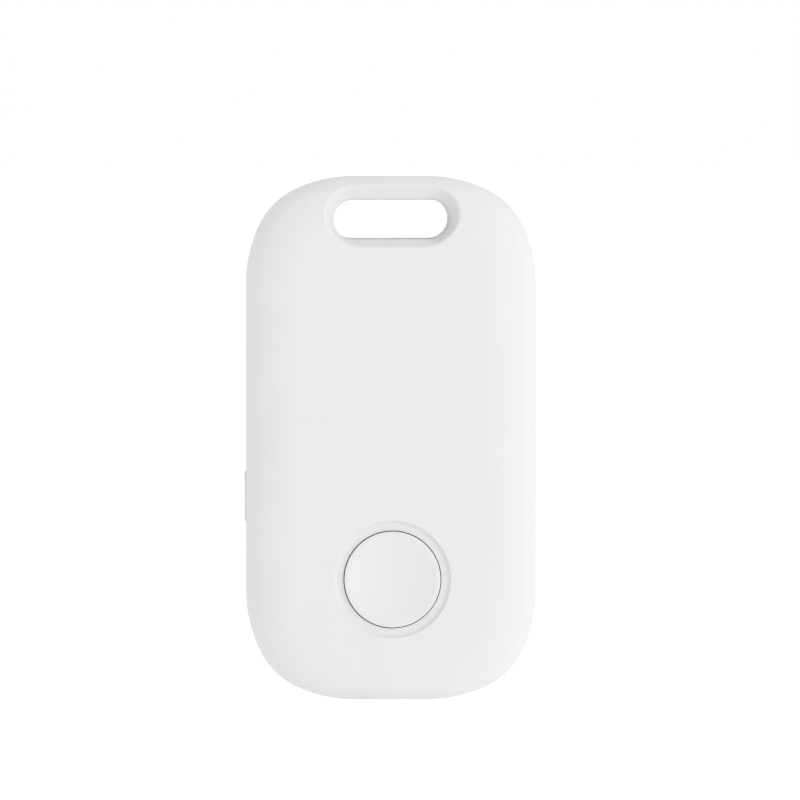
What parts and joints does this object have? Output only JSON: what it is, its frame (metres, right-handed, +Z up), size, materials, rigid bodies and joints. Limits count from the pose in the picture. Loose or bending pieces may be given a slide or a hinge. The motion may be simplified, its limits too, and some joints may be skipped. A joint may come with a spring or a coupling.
{
  "type": "bluetooth tracker tag",
  "caption": "Flat rounded tracker tag with a flared lanyard slot, a dished round front button, a slim side key and a twist-off battery door at the back.",
  "frame": {"origin": "under the middle of the case at half its width and half its thickness, level with the lowest point of the bottom edge", "axes": "+X to the right seen from the front, +Y through the thickness from the front face to the back, +Z up along the height towards the lanyard slot"},
  "size_m": [0.0292, 0.0084, 0.0524],
  "materials": {
    "case_plastic": "fine spark-eroded matte white plastic",
    "seal_rubber": "soft grey silicone",
    "cell_steel": "nickel-plated steel with a faint spun grain",
    "inner_plastic": "black moulded plastic",
    "spring_metal": "plated spring sheet",
    "amber_film": "thin amber insulating film",
    "board_laminate": "green solder mask",
    "screw_steel": "zinc-plated steel",
    "switch_plastic": "dark moulded plastic",
    "sounder_brass": "rolled brass sheet",
    "sounder_ceramic": "silvered ceramic",
    "chip_resin": "black moulding resin",
    "coil_ferrite": "dark ferrite",
    "aerial_ceramic": "pale fired ceramic",
    "lamp_resin": "clear pale resin",
    "capacitor_ceramic": "tan fired ceramic"
  },
  "bodies": {
    "root": {"front_shell": "case_plastic", "rear_shell": "case_plastic", "case_seal": "seal_rubber", "coin_cell_can": "cell_steel", "coin_cell_cap": "cell_steel", "coin_cell_grommet": "inner_plastic", "battery_cradle": "inner_plastic", "negative_contact": "spring_metal", "positive_contact": "spring_metal", "insulating_film": "amber_film", "circuit_board": "board_laminate", "board_screws": "screw_steel", "front_switch_body": "switch_plastic", "front_switch_cover": "spring_metal", "side_switch_body": "switch_plastic", "side_switch_cover": "spring_metal", "sounder_plate": "sounder_brass", "sounder_ceramic": "sounder_ceramic", "sounder_contacts": "spring_metal", "radio_chip": "chip_resin", "main_crystal": "spring_metal", "clock_crystal": "spring_metal", "boost_coil": "coil_ferrite", "aerial": "aerial_ceramic", "status_lamp": "lamp_resin", "capacitors": "capacitor_ceramic", "resistors": "chip_resin"},
    "button": {"main_button": "case_plastic"},
    "front_plunger": {"front_switch_plunger": "inner_plastic"},
    "key": {"side_key": "case_plastic"},
    "side_plunger": {"side_switch_plunger": "inner_plastic"},
    "door": {"battery_door": "case_plastic", "door_seal": "seal_rubber"}
  },
  "joints": [
    {"name": "button_press", "type": "slide", "parent": "root", "child": "button", "axis": [0, 1, 0], "range_m": [0, 0.00025], "stiffness_N_per_m": 400, "springref_m": -0.0004},
    {"name": "front_plunger_press", "type": "slide", "parent": "root", "child": "front_plunger", "axis": [0, 1, 0], "range_m": [0, 0.00025]},
    {"name": "key_press", "type": "slide", "parent": "root", "child": "key", "axis": [1, 0, 0], "range_m": [0, 0.00025], "stiffness_N_per_m": 400, "springref_m": -0.0004},
    {"name": "side_plunger_press", "type": "slide", "parent": "root", "child": "side_plunger", "axis": [1, 0, 0], "range_m": [0, 0.00025]},
    {"name": "door_twist", "type": "hinge", "parent": "root", "child": "door", "pos_m": [0, 0, 0.0285], "axis": [0, 1, 0], "range_deg": [0, 45]}
  ],
  "couplings": [
    {"joint": "front_plunger_press", "follows": "button_press", "ratio": 1},
    {"joint": "side_plunger_press", "follows": "key_press", "ratio": 1}
  ]
}
